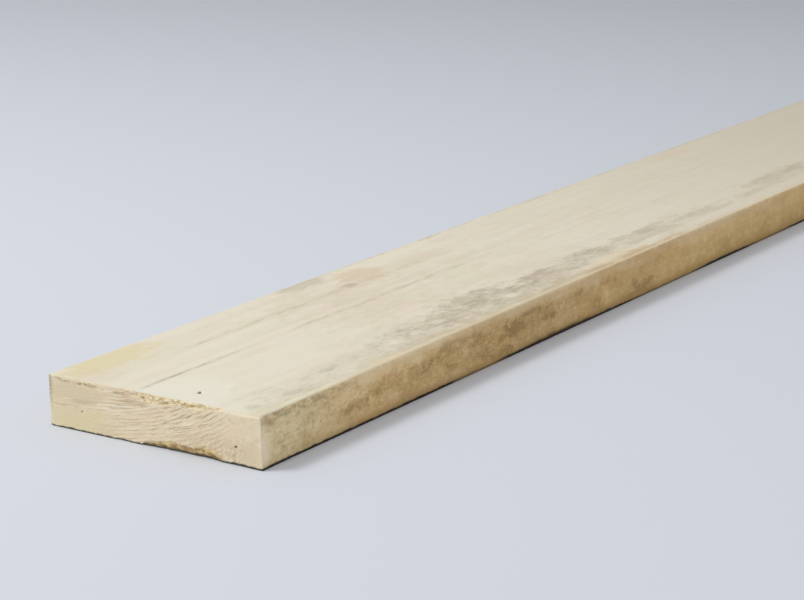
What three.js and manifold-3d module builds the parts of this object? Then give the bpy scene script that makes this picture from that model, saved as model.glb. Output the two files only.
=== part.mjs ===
// A rough-sawn softwood plank: one straight length of board with square cross-cut ends.
// Millimetres. +X runs along the grain, +Y across the width, +Z up through the thickness.
// The origin is the centre of the underside. The near end, at -X, is the one that the saw tore.
import * as THREE from "three";
import { mergeVertices } from "three/addons/utils/BufferGeometryUtils.js";
import Module from "manifold-3d";

// ---- Driving dimensions ----
const LENGTH = 2000;
const WIDTH = 100;
const THICKNESS = 20;

// The four long arrises are left by the saw and worn in handling. Each has a mean run across the
// width and a mean rise up the thickness. power gives the shape of its curve: 2 is a quarter of
// an ellipse and 1 is a flat. Run and rise swell and shrink together along the board, by the
// share swing, with its pitch and start.
const ARRISES = [
  { across: +1, up: +1, run: 0.6, rise: 0.6, power: 2, swing: 0.35, pitch: 310, start: 0.2 },
  { across: -1, up: +1, run: 1.2, rise: 1.2, power: 2, swing: 0.6, pitch: 190, start: 0.33 },
  { across: -1, up: -1, run: 0.35, rise: 0.3, power: 2, swing: 0.4, pitch: 165, start: 2.1 },
  { across: +1, up: -1, run: 1.2, rise: 0.7, power: 1.5, swing: 0.5, pitch: 270, start: 0.4 },
];
// A second, slower swing keeps the arrises from repeating evenly.
const SLOW_SWING_SHARE = 0.6;
const SLOW_PITCH_RATIO = 2.7;

// The saw leaves each end's outline a little eased.
const END_EASING = 0.5;

// Break-outs: shallow hollows where the cross-cut saw tore fibres from an arris of the near end.
// fromBack is measured across the width from the back arris. span is the hollow's length along
// the torn arris, drop its height on the end face, and reach how far it runs in along the grain.
const BREAK_OUTS = [
  { face: "top", fromBack: 21.5, span: 30, drop: 0.9, reach: 0.7 },
  { face: "top", fromBack: 50.5, span: 27, drop: 3.7, reach: 0.8 },
  { face: "top", fromBack: 67.5, span: 30, drop: 2.4, reach: 0.9 },
  { face: "top", fromBack: 91, span: 22, drop: 1.2, reach: 1.6 },
  { face: "underside", fromBack: 61.5, span: 34, drop: 3.2, reach: 1.2 },
  { face: "underside", fromBack: 73.5, span: 16, drop: 3.7, reach: 1.2 },
  { face: "underside", fromBack: 88, span: 14, drop: 0.9, reach: 1.2 },
];

// Pin holes, bored by insects before the log was sawn. Those in the end are square to it. The one
// in the top face leans from upright by lean, and runs down towards heading, which is measured
// from the grain towards the back edge. Both are in degrees.
const PIN_HOLE_DEPTH = 3;
const TOP_PIN_HOLE = { radius: 0.62, fromEnd: 10.9, fromBack: 63.6, lean: 60, heading: 35 };
const END_PIN_HOLES = [
  { radius: 0.4, fromBack: 16.0, height: 7.7 },
  { radius: 0.45, fromBack: 88.3, height: 6.9 },
];

// A seasoning check: a fine crack that opened in the top face as the board dried. It starts a
// little way in from the near end and follows the grain.
const CHECK = { fromEnd: 3.2, fromBack: 42.4, length: 30, width: 0.6, depth: 1.5 };

// ---- Fineness of the facets ----
const STATION_PITCH = 25;
const ARRIS_STEPS = 4;
const EASING_STEPS = 3;
const HOLLOW_SIDES = 20;
const HOLLOW_RINGS = 10;
const PIN_HOLE_SIDES = 12;
const CHECK_STEPS = 8;
// How far a cutting tool stands out of the face that it cuts.
const CUT_CLEARANCE = 1;

const SAWN_SOFTWOOD = new THREE.MeshStandardMaterial({
  name: "sawn_softwood",
  color: new THREE.Color(0.86, 0.79, 0.62),
  roughness: 0.85,
  metalness: 0,
});

const NEAR_END = -LENGTH / 2;
const FAR_END = LENGTH / 2;
const BACK_EDGE = WIDTH / 2;

// ---- The sawn board ----

// How much larger than its mean an arris is at x: one, plus a quick and a slow swing.
function arrisFactor(arris, x) {
  const turns = (x - NEAR_END) / arris.pitch + arris.start;
  const quick = Math.sin(2 * Math.PI * turns);
  const slow = Math.sin((2 * Math.PI * turns) / SLOW_PITCH_RATIO);
  return 1 + arris.swing * ((1 - SLOW_SWING_SHARE) * quick + SLOW_SWING_SHARE * slow);
}

// A cosine or sine raised to 2 / power, with its sign kept. Two of them trace a superellipse.
function bulge(value, power) {
  return Math.sign(value) * Math.abs(value) ** (2 / power);
}

// The outline at x as (y, z) points: the width by the thickness, drawn in by inset on all four
// sides, with a quarter of a superellipse at each arris.
function sectionOutline(x, inset) {
  return ARRISES.flatMap((arris) => {
    const factor = arrisFactor(arris, x);
    const run = arris.run * factor;
    const rise = arris.rise * factor;
    const centreY = arris.across * (WIDTH / 2 - inset - run);
    const centreZ = THICKNESS / 2 + arris.up * (THICKNESS / 2 - inset - rise);
    const first = Math.atan2(arris.up, arris.across) - Math.PI / 4;
    return Array.from({ length: ARRIS_STEPS + 1 }, (_, i) => {
      const angle = first + (Math.PI / 2) * (i / ARRIS_STEPS);
      return new THREE.Vector2(
        centreY + run * bulge(Math.cos(angle), arris.power),
        centreZ + rise * bulge(Math.sin(angle), arris.power),
      );
    });
  });
}

// The stations along the board. Each end is eased by a quarter circle, and the rest is even.
function stations() {
  const easing = Array.from({ length: EASING_STEPS + 1 }, (_, i) => {
    const angle = (Math.PI / 2) * (i / EASING_STEPS);
    return { fromEnd: END_EASING * (1 - Math.cos(angle)), inset: END_EASING * (1 - Math.sin(angle)) };
  });
  const spans = Math.max(2, Math.round(LENGTH / STATION_PITCH));
  const near = easing.map(({ fromEnd, inset }) => ({ x: NEAR_END + fromEnd, inset }));
  const between = Array.from({ length: spans - 1 }, (_, i) => ({
    x: NEAR_END + (LENGTH * (i + 1)) / spans,
    inset: 0,
  }));
  const far = easing.map(({ fromEnd, inset }) => ({ x: FAR_END - fromEnd, inset })).reverse();
  return [...near, ...between, ...far];
}

// A skin over rings of points, each as long as the next, closed with a flat cap at both ends.
function loft(rings) {
  const count = rings[0].length;
  const positions = rings.flat().flatMap((point) => [point.x, point.y, point.z]);
  const indices = [];
  for (let r = 0; r + 1 < rings.length; r++) {
    for (let i = 0; i < count; i++) {
      const a = r * count + i;
      const b = r * count + ((i + 1) % count);
      indices.push(a, b, b + count, a, b + count, a + count);
    }
  }
  const last = (rings.length - 1) * count;
  for (let i = 1; i + 1 < count; i++) {
    indices.push(0, i + 1, i, last, last + i, last + i + 1);
  }
  const geometry = new THREE.BufferGeometry();
  geometry.setAttribute("position", new THREE.Float32BufferAttribute(positions, 3));
  geometry.setIndex(indices);
  return geometry;
}

function sawnBoard() {
  const rings = stations().map((station) =>
    sectionOutline(station.x, station.inset).map(
      (point) => new THREE.Vector3(station.x, point.x, point.y),
    ),
  );
  return loft(rings);
}

// ---- What is cut out of the board ----

// A break-out's tool: an ellipsoid centred on the arris that it hollows.
function breakOutTool({ face, fromBack, span, drop, reach }) {
  const tool = new THREE.SphereGeometry(1, HOLLOW_SIDES, HOLLOW_RINGS);
  tool.scale(reach, span / 2, drop);
  tool.translate(NEAR_END, BACK_EDGE - fromBack, face === "top" ? THICKNESS : 0);
  return tool;
}

// An upright drill, with the hole's mouth at the origin and the hole below it.
function drill(radius, clearance) {
  const length = PIN_HOLE_DEPTH + clearance;
  const tool = new THREE.CylinderGeometry(radius, radius, length, PIN_HOLE_SIDES);
  tool.rotateX(Math.PI / 2);
  tool.translate(0, 0, clearance - length / 2);
  return tool;
}

// A leaning drill stands out further, so that it clears the high side of its slanting mouth.
function topPinHole({ radius, fromEnd, fromBack, lean, heading }) {
  const tilt = THREE.MathUtils.degToRad(lean);
  const tool = drill(radius, CUT_CLEARANCE + radius * Math.tan(tilt));
  tool.rotateY(-tilt);
  tool.rotateZ(THREE.MathUtils.degToRad(heading));
  tool.translate(NEAR_END + fromEnd, BACK_EDGE - fromBack, THICKNESS);
  return tool;
}

function endPinHole({ radius, fromBack, height }) {
  const tool = drill(radius, CUT_CLEARANCE);
  tool.rotateY(-Math.PI / 2);
  tool.translate(NEAR_END, BACK_EDGE - fromBack, height);
  return tool;
}

// The check's tool: a V-shaped blade carried along the grain, tapering towards both its ends.
function checkTool({ fromEnd, fromBack, length, width, depth }) {
  const rings = [];
  for (let i = 0; i <= CHECK_STEPS; i++) {
    const along = i / CHECK_STEPS;
    const openness = 0.1 + 0.9 * Math.sin(Math.PI * along) ** 0.5;
    const x = NEAR_END + fromEnd + length * along;
    const y = BACK_EDGE - fromBack;
    const half = (width / 2) * openness;
    const flare = half * (1 + CUT_CLEARANCE / depth);
    rings.push([
      new THREE.Vector3(x, y, THICKNESS - depth * openness),
      new THREE.Vector3(x, y + flare, THICKNESS + CUT_CLEARANCE),
      new THREE.Vector3(x, y - flare, THICKNESS + CUT_CLEARANCE),
    ]);
  }
  return loft(rings);
}

// ---- Cutting ----

const wasm = await Module();
wasm.setup();

// A closed geometry as a solid. Only its positions count, and vertices that coincide are joined.
function solidOf(geometry) {
  geometry.deleteAttribute("normal");
  geometry.deleteAttribute("uv");
  const merged = mergeVertices(geometry);
  return new wasm.Manifold(
    new wasm.Mesh({
      numProp: 3,
      vertProperties: merged.attributes.position.array,
      triVerts: new Uint32Array(merged.index.array),
    }),
  );
}

function geometryOf(solid) {
  const mesh = solid.getMesh();
  const geometry = new THREE.BufferGeometry();
  geometry.setAttribute("position", new THREE.BufferAttribute(mesh.vertProperties, 3));
  geometry.setIndex(new THREE.BufferAttribute(mesh.triVerts, 1));
  geometry.computeVertexNormals();
  return geometry;
}

function plankGeometry() {
  const tools = [
    ...BREAK_OUTS.map(breakOutTool),
    topPinHole(TOP_PIN_HOLE),
    ...END_PIN_HOLES.map(endPinHole),
    checkTool(CHECK),
  ];
  const cut = tools.reduce((board, tool) => board.subtract(solidOf(tool)), solidOf(sawnBoard()));
  return geometryOf(cut);
}

const plank = new THREE.Mesh(plankGeometry(), SAWN_SOFTWOOD);
plank.name = "plank";

const part = new THREE.Group();
part.add(plank);

export default part;
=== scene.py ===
# %% [markdown]
# # A rough-sawn softwood plank
# A plank is one piece of wood, so this lesson makes one skin. The measured solid gives the size
# and place. A finer skin is worked out over it with numpy, with the saw-torn end, the worn
# arrises and the uneven sawn faces in its shape. Three finishes then follow the three ways that
# a saw can cut wood: across the fibres, along the growth rings and through them.

# %% Load the measured plank
import math

import bpy
import numpy as np
from mathutils import Euler, Matrix, Vector


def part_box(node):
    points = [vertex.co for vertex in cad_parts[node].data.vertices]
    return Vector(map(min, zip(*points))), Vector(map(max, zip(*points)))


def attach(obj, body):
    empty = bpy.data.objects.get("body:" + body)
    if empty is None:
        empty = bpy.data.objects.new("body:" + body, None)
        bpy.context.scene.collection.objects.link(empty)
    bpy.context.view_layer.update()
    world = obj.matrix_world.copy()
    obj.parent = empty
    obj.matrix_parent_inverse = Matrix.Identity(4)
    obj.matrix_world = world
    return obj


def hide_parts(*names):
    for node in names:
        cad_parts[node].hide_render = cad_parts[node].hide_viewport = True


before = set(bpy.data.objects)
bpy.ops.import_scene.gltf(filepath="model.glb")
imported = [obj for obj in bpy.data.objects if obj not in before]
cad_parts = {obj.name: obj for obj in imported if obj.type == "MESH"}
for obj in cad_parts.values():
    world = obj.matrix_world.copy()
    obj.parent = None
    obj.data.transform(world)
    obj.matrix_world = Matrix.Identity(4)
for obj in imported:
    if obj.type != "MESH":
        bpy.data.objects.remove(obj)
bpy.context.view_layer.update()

plank_low, plank_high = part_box("plank")
MILLIMETRE = 0.001
LENGTH, WIDTH, THICKNESS = (plank_high - plank_low) / MILLIMETRE
print(f"measured plank: {LENGTH:.0f} x {WIDTH:.0f} x {THICKNESS:.0f} mm")

# %% [markdown]
# ## Board coordinates
# Someone who marks out a board measures from its end, its edge and its face. So do we: along
# from the near end, across from the back arris, and height from the underside, in millimetres.
# One function turns those into scene coordinates, and one Mapping node will do the reverse in
# the materials.

# %% From board coordinates to the scene
def placed(along, across, height):
    """Scene points, in metres: x grows with along, y falls with across, z grows with height."""
    corner = np.array([plank_low.x, plank_high.y, plank_low.z])
    board = np.stack([along, -across, height], axis=-1)
    return corner + board * MILLIMETRE


# %% [markdown]
# ## Camera
# The camera stands in front of the near end and looks along the plank, a little down on it. The
# long lens keeps the plank's long edges nearly parallel.

# %% Stand the camera
CAMERA_FROM_END, CAMERA_ACROSS, CAMERA_HEIGHT = -578.4, 564.5, 259.6
CAMERA_HEADING, CAMERA_PITCH, CAMERA_ROLL = 55.071, 15.043, -1.224
CAMERA_LENS, CAMERA_SENSOR = 100.71, 36

camera_data = bpy.data.cameras.new("camera")
camera_data.lens = CAMERA_LENS
camera_data.sensor_width = CAMERA_SENSOR
camera = bpy.data.objects.new("camera", camera_data)
bpy.context.scene.collection.objects.link(camera)
bpy.context.scene.camera = camera
aim = Euler((math.radians(90 - CAMERA_PITCH), 0, math.radians(-CAMERA_HEADING))).to_matrix()
roll = Matrix.Rotation(math.radians(CAMERA_ROLL), 3, "Z")
station = placed(CAMERA_FROM_END, CAMERA_ACROSS, CAMERA_HEIGHT)
camera.matrix_world = Matrix.Translation(Vector(station)) @ (aim @ roll).to_4x4()
print("camera at", [round(c, 3) for c in station])

# %% [markdown]
# ## The lattice under the skin
# The skin starts as a box whose faces are ruled with lines. A cube subdivided evenly would be
# simpler, but it would spend most of its faces on the plain middle of the board. So lines run
# close together beside the arrises, where the shape turns, and beside the drying check and a pin
# hole. The near end needs three times as many lines as the rest, so one belt of triangles joins
# the fine rings to the coarse ones.

# %% Where the check and the pin holes are
CHECK_FROM_END, CHECK_LENGTH, CHECK_ACROSS = 3.2, 30.0, 42.4
CHECK_WIDTH, CHECK_DEPTH = 0.6, 0.4
TOP_PIN_ALONG, TOP_PIN_ACROSS, TOP_PIN_RADIUS = 10.9, 63.6, 0.62
TOP_PIN_LEAN, TOP_PIN_HEADING = math.radians(60), math.radians(35)
TOP_PIN_DEPTH = 1.4
# Each pin hole in the end: across, height, radius and depth.
END_PINS = [(16.0, 7.7, 0.4, 0.8), (88.3, 6.9, 0.45, 1.4)]

# %% Rule the lines
ARRIS_BAND, ARRIS_STEPS = 2.0, 5
FACE_PITCH = 1.3
FINE = 3
CLEARED = 1.6


def ruled(span):
    """Positions from 0 to span: small equal steps in the band beside each arris, and steps of
    about the face pitch between the bands."""
    band = np.linspace(0, ARRIS_BAND, ARRIS_STEPS + 1)
    steps = round((span - 2 * ARRIS_BAND) / FACE_PITCH)
    middle = np.linspace(ARRIS_BAND, span - ARRIS_BAND, steps + 1)
    return np.concatenate([band[:-1], middle, span - band[-2::-1]])


def split(lines, parts):
    """Each gap between neighbouring lines cut into equal parts."""
    count = parts * (len(lines) - 1) + 1
    return np.interp(np.arange(count) / parts, np.arange(len(lines)), lines)


def beside(lines, centre, half, count):
    """The lines with count more across a small feature, and any old ones in their way dropped."""
    clear = np.abs(lines - centre) > CLEARED * half
    return np.sort(np.concatenate([lines[clear], np.linspace(centre - half, centre + half, count)]))


across_lines = beside(ruled(WIDTH), CHECK_ACROSS, CHECK_WIDTH / 2, 3)
pin_reach = TOP_PIN_RADIUS / math.cos(TOP_PIN_LEAN)
across_lines = beside(across_lines, TOP_PIN_ACROSS, pin_reach * math.sin(TOP_PIN_HEADING), 6)
height_lines = ruled(THICKNESS)
print(len(across_lines), "lines across,", len(height_lines), "up the thickness")

# %% Space the stations along the board
NEAR_ZONE, NEAR_STATIONS, CLOSING_POWER = 7.0, 18, 1.6
FIRST_GAP, GAP_GROWTH = 1.2, 1.0105


def stations():
    """Two runs of distances from the near end. The first closes up towards the end, as a power
    of a count does. In the second each gap is a little longer than the one before, and the run
    closes up again over the far arris."""
    near = NEAR_ZONE * np.linspace(0, 1, NEAR_STATIONS) ** CLOSING_POWER
    far_arris = LENGTH - ARRIS_BAND * np.linspace(1, 0, ARRIS_STEPS + 1)
    room = far_arris[0] - NEAR_ZONE
    count = int(np.log(1 + room * (GAP_GROWTH - 1) / FIRST_GAP) / np.log(GAP_GROWTH))
    sums = (GAP_GROWTH ** np.arange(1, count + 1) - 1) / (GAP_GROWTH - 1)
    growing = NEAR_ZONE + room * sums / sums[-1]
    far = np.concatenate([growing[:-1], far_arris])
    return near, beside(far, TOP_PIN_ALONG, pin_reach * math.cos(TOP_PIN_HEADING), 6)


near_stations, long_stations = stations()
print(len(near_stations), "fine stations and", len(long_stations), "coarse ones")


# %% Number the lattice
class Lattice:
    """A box's surface as vertices and faces, built from rings and flat caps. Each vertex is
    known by its board coordinates on the square-edged box."""

    def __init__(self):
        self.points, self.faces = [], []
        self.count = 0

    def add(self, along, across, height):
        """New vertices for arrays of board coordinates. Their numbers come back in that shape."""
        shape = np.broadcast(along, across, height).shape
        board = [np.broadcast_to(v, shape).ravel() for v in (along, across, height)]
        numbers = np.arange(np.prod(shape, dtype=int)).reshape(shape) + self.count
        self.points.append(np.stack(board, axis=1))
        self.count += numbers.size
        return numbers

    def face(self, *corners):
        """Faces with these corners: arrays of vertex numbers, one array for each corner."""
        self.faces.append(np.stack([c.ravel() for c in corners], axis=1))

    def grid(self, numbers):
        """Quads between the rows and columns of an array of vertex numbers."""
        self.face(numbers[:-1, :-1], numbers[1:, :-1], numbers[1:, 1:], numbers[:-1, 1:])


def outline(across, height):
    """Line numbers along a section's outline: underside, front edge, top, back edge."""
    last_a, last_h = len(across) - 1, len(height) - 1
    p = np.concatenate([np.arange(last_a), np.full(last_h, last_a),
                        np.arange(last_a, 0, -1), np.zeros(last_h, int)])
    q = np.concatenate([np.zeros(last_a, int), np.arange(last_h),
                        np.full(last_a, last_h), np.arange(last_h, 0, -1)])
    return p, q


def rings(lattice, along, across, height):
    """One ring of vertices for each station, and the quads between them."""
    p, q = outline(across, height)
    numbers = lattice.add(along[:, None], across[p], height[q])
    lattice.grid(np.column_stack([numbers, numbers[:, :1]]))
    return numbers


def cap(lattice, ring, along, across, height, outward):
    """The flat end inside a ring. It shares the ring's vertices and adds those within."""
    p, q = outline(across, height)
    numbers = np.empty((len(across), len(height)), int)
    numbers[p, q] = ring
    numbers[1:-1, 1:-1] = lattice.add(along, across[1:-1, None], height[None, 1:-1])
    lattice.grid(numbers if outward else numbers[::-1])


def belt(lattice, fine, coarse):
    """Triangles that join a fine ring to a coarse one with a third as many vertices."""
    f = np.append(fine, fine[0])
    c, d = coarse, np.roll(coarse, -1)
    f0, f1, f2, f3 = (f[k : k + FINE * (len(c) - 1) + 1 : FINE] for k in range(4))
    lattice.face(f0, c, f1)
    lattice.face(f1, c, d)
    lattice.face(f1, d, f2)
    lattice.face(f2, d, f3)


lattice = Lattice()
fine_across, fine_height = split(across_lines, FINE), split(height_lines, FINE)
near_rings = rings(lattice, near_stations, fine_across, fine_height)
long_rings = rings(lattice, long_stations, across_lines, height_lines)
belt(lattice, near_rings[-1], long_rings[0])
cap(lattice, near_rings[0], 0.0, fine_across, fine_height, True)
cap(lattice, long_rings[-1], LENGTH, across_lines, height_lines, False)
box_points = np.concatenate(lattice.points)
triangles = sum(len(f) * (f.shape[1] - 2) for f in lattice.faces)
print(f"{len(box_points)} vertices, {triangles} triangles")

# %% [markdown]
# ## Uneven numbers
# Wood and wear are uneven at every scale. Value noise is the simplest unevenness that numpy can
# give for whole arrays: random numbers stand on a lattice of cells, and each point blends the
# eight numbers round it with a smooth curve.

# %% Noise for whole arrays
TABLE_SEED, TABLE_LENGTH = 7, 8192
NOISE_TABLE = np.random.default_rng(TABLE_SEED).random(TABLE_LENGTH)
HASH_PRIMES = np.array([73856093, 19349663, 83492791])
SEED_STEP = 17.31


def smooth(t):
    """The cubic that rises from 0 to 1 with level ends: 3t squared less 2t cubed, clamped."""
    t = np.clip(t, 0, 1)
    return t * t * (3 - 2 * t)


def uneven(points, size, seed):
    """Value noise from 0 to 1 at points. size is the cell, in mm: one number or one an axis."""
    cells = points / np.asarray(size, float) + seed * SEED_STEP
    base = np.floor(cells).astype(np.int64)
    t = smooth(cells - base)
    total = 0.0
    for corner in np.ndindex(2, 2, 2):
        index = ((base + corner) * HASH_PRIMES).sum(axis=1) % len(NOISE_TABLE)
        weight = np.prod(np.where(corner, t, 1 - t), axis=1)
        total = total + weight * NOISE_TABLE[index]
    return total


def rough(points, size, seed, octaves=3):
    """Noise upon noise: each octave has half the size and half the height of the one before."""
    heights = 0.5 ** np.arange(octaves)
    layers = [uneven(points, np.asarray(size) * h, seed + i) for i, h in enumerate(heights)]
    return sum(h * layer for h, layer in zip(heights, layers)) / heights.sum()


# %% [markdown]
# ## Arrises
# An arris is the edge where two faces meet. Sawing and handling wear each long arris down to a
# curve, which swells and shrinks along the board. A Bevel modifier would round every arris
# evenly, so a formula does it here. A power of 2 makes the curve a quarter of an ellipse, and a
# power of 1 makes it a flat. The same formula shapes the measured solid. Nicks are added, and
# the cross-cut saw tears the arrises of the near end: there the outline is drawn in by a reach
# along the grain and a drop down the end face.

# %% Sizes of the long arrises
# Each row: edge, face, mean run, mean rise, power of the curve, and the share, pitch and start of
# the swing.
LONG_ARRISES = [
    ("back", "top", 0.6, 0.6, 2.0, 0.35, 310, 0.2),
    ("front", "top", 1.2, 1.2, 2.0, 0.6, 190, 0.33),
    ("front", "under", 0.35, 0.3, 2.0, 0.4, 165, 2.1),
    ("back", "under", 1.2, 0.7, 1.5, 0.5, 270, 0.4),
]
SLOW_SHARE, SLOW_RATIO = 0.6, 2.7
NICK_SIZE, NICK_DEPTH, NICK_FROM, NICK_RANGE = 7.0, 0.9, 0.62, 0.25
ARRIS_APART = 40.0


def arris_size(along, across, height):
    """Run across, rise and power of the long arris nearest to each point. Run and rise are a
    mean in mm, times one plus a swing, times one plus the nicks. The swing is a quick wave and a
    slow one along the board."""
    sizes = np.ones((3, len(along)))
    in_front, on_top = across > WIDTH / 2, height > THICKNESS / 2
    for edge, face, run, rise, power, swing, pitch, start in LONG_ARRISES:
        turns = 2 * np.pi * (along / pitch + start)
        waves = (1 - SLOW_SHARE) * np.sin(turns) + SLOW_SHARE * np.sin(turns / SLOW_RATIO)
        factor = 1 + swing * waves
        near = (in_front == (edge == "front")) & (on_top == (face == "top"))
        sizes = np.where(near, [run * factor, rise * factor, np.full_like(along, power)], sizes)
    corner = np.stack([along, np.round(across / WIDTH) * ARRIS_APART,
                       np.round(height / THICKNESS) * ARRIS_APART], axis=1)
    nicks = 1 + NICK_DEPTH * smooth((rough(corner, NICK_SIZE, 3) - NICK_FROM) / NICK_RANGE)
    run, rise, power = sizes
    return run * nicks, rise * nicks, power


# %% Hollows of the torn end
HOLLOWS = {
    "top": [
        {"across": 21.5, "span": 30, "drop": 0.9, "reach": 0.6, "fresh": 0.0},
        {"across": 50.5, "span": 27, "drop": 3.7, "reach": 0.8, "fresh": 1.0},
        {"across": 67.5, "span": 30, "drop": 2.4, "reach": 0.9, "fresh": 1.0},
        {"across": 90, "span": 24, "drop": 1.7, "reach": 1.6, "fresh": 0.0},
    ],
    "under": [
        {"across": 35, "span": 8, "drop": 1.0, "reach": 1.0, "fresh": 0.3},
        {"across": 61.5, "span": 34, "drop": 3.2, "reach": 1.2, "fresh": 1.0},
        {"across": 73.5, "span": 16, "drop": 3.7, "reach": 1.2, "fresh": 1.0},
        {"across": 88, "span": 14, "drop": 0.9, "reach": 1.2, "fresh": 0.4},
    ],
}
EASINGS = {"top": {"drop": 0.5, "reach": 0.5}, "under": {"drop": 0.3, "reach": 0.4}}
RAGGED_SIZE, RAGGED_LEAST, RAGGED_RANGE = 1.8, 0.7, 0.6


def hollow(across, face):
    """Drop and reach, in mm, of the end's arris on one face, and how freshly torn it is from 0
    to 1. Each hollow is half an ellipse along the arris, made ragged by noise."""
    drop = np.full_like(across, EASINGS[face]["drop"])
    reach = np.full_like(across, EASINGS[face]["reach"])
    torn = np.zeros_like(across)
    line = np.stack([across, across * 0, across * 0 + len(face)], axis=1)
    ragged = RAGGED_LEAST + RAGGED_RANGE * rough(line, RAGGED_SIZE, 11)
    for shape in HOLLOWS[face]:
        bow = np.sqrt(np.clip(1 - (2 * (across - shape["across"]) / shape["span"]) ** 2, 0, 1))
        drop = np.maximum(drop, shape["drop"] * bow * ragged)
        reach = np.maximum(reach, shape["reach"] * bow * ragged)
        torn = np.maximum(torn, shape["fresh"] * smooth(3 * bow))
    return drop, reach, torn


# %% Draw the box in to its arrises
NEAR_BLEND, SIDE_BLEND = 5.0, 3.0
TORN_POWER, UPRIGHT_REACH, UPRIGHT_RUN = 1.0, 0.5, 0.6


def drawn_in(points):
    """Points of the square-edged box moved to the real arrises, and how torn each one is. A
    point is measured from an inner box, in units of the arris's size on each axis, and pulled
    back until the sum of the powers of its parts is one. Torn arrises are flats, and the end's
    two upright arrises have a run and a reach of their own."""
    along, across, height = points.T
    run, rise, power = arris_size(along, across, height)
    upper, lower = hollow(across, "top"), hollow(across, "under")
    drop, reach, torn = (np.where(height > THICKNESS / 2, u, l) for u, l in zip(upper, lower))
    at_near_end = 1 - smooth(along / NEAR_BLEND)
    upright = smooth(2 - 3 * np.abs(2 * height / THICKNESS - 1))
    run = run + upright * (UPRIGHT_RUN - run)
    reach = reach + np.maximum(upright, along > LENGTH / 2) * (UPRIGHT_REACH - reach)
    size = np.stack([reach, run, rise + at_near_end * (drop - rise)], axis=1)
    box = np.array([LENGTH, WIDTH, THICKNESS])
    inner = np.clip(points, size, box - size)
    parts = np.abs(points - inner) / size
    off_side = np.minimum(across, WIDTH - across)
    torn = torn * at_near_end * smooth(off_side / SIDE_BLEND)
    power = (power + torn * (TORN_POWER - power))[:, None]
    pull = np.sum(parts ** power, axis=1, keepdims=True) ** (-1 / power)
    moved = inner + (points - inner) * np.where(parts.max(axis=1, keepdims=True) > 0, pull, 1)
    return moved, torn * smooth(5 * np.minimum(parts[:, 0], parts[:, 2]))


skin, torn_fibre = drawn_in(box_points)
print(f"arrises drawn in by up to {np.abs(skin - box_points).max():.2f} mm")

# %% [markdown]
# ## Growth rings
# The end of a board shows the tree's rings. Here they lie almost flat at the back edge and climb
# towards the front, because the board was cut below the heart of the log. A ring is one curve,
# height = rise(across) + a constant, and the constant counts the rings. The same field gives the
# relief of the end face here, and the stripes of all three finishes later.

# %% The ring field
RING_SLOPE, RING_RISE, RING_POWER = -0.012, 33.7, 2.53
RING_START, FLAT_PITCH, STEEP_PITCH = 11.8, 1.45, 1.95
STEEP_BAND = (40, 85)
LATE_START, LATE_FULL, LATE_END = 0.3, 0.9, 0.93


def ring_count(across, height):
    """Rings counted outwards from the heart, fractions included. The curve is a straight slope
    plus a power of the distance across, and the rings lie further apart where they are steep."""
    share = np.clip(across / WIDTH, 0, 1)
    level = height - (RING_SLOPE * across + RING_RISE * share ** RING_POWER)
    steep = smooth((across - STEEP_BAND[0]) / (STEEP_BAND[1] - STEEP_BAND[0]))
    return (RING_START - level) / (FLAT_PITCH + steep * (STEEP_PITCH - FLAT_PITCH))


def latewood(count):
    """How dense the wood is in its ring, from 0 to 1: a slow climb, and a sharp fall at the end."""
    part = count - np.floor(count)
    climb = smooth((part - LATE_START) / (LATE_FULL - LATE_START))
    return climb * (1 - smooth((part - LATE_END) / (1 - LATE_END)))


# %% Relief of the faces
RING_RELIEF, GRIT_RELIEF, CRUMB_RELIEF = 0.07, 0.10, 0.28
RING_FAN = (18, 45, 74, 92)
EDGE_RELIEF, EDGE_WANDER, FACE_RELIEF = 0.14, 0.20, 0.10
FOOT_SHARE, FOOT_FADE = 0.2, 4.0
RING_WAVER, CRUMB_LEVEL = 0.3, 0.25


def relief(points, moved, torn):
    """The depth, on each axis, of the sawn surface's unevenness. Dense wood stands proud on the
    end, torn fibres crumble, and the narrow faces are the roughest."""
    along, across, height = points.T
    end = (along <= 0) | (along >= LENGTH)
    broad = ((height <= 0) | (height >= THICKNESS)) & ~end
    narrow = ~end & ~broad
    soft = 1 - latewood(ring_count(across, height) + RING_WAVER * rough(moved, (9, 5, 4), 21))
    left, full, fading, right = RING_FAN
    in_fan = smooth((across - left) / (full - left)) * smooth((right - across) / (right - fading))
    ring_depth = RING_RELIEF * soft * in_fan + GRIT_RELIEF * rough(moved, 0.9, 23)
    crumbs = CRUMB_RELIEF * torn * (rough(moved, (1.6, 1.8, 0.9), 5) - CRUMB_LEVEL)
    wander = rough(moved, (110, 60, 60), 31, 2)
    edge = narrow * (FOOT_SHARE + (1 - FOOT_SHARE) * smooth(height / FOOT_FADE))
    return np.stack([
        end * ring_depth + crumbs,
        edge * (EDGE_RELIEF * rough(moved, (5, 4, 4), 9) + EDGE_WANDER * wander),
        broad * FACE_RELIEF * rough(moved, (16, 4, 4), 13) + 0.5 * crumbs,
    ], axis=1)


# %% Depth of the pin holes and the check
PIT_RIM = 0.4


def pit(distance, radius, depth):
    """Depth of a small round hole: all of it inside, with a quick rise at the rim."""
    return depth * smooth((1 - distance / radius) / PIT_RIM)


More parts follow.
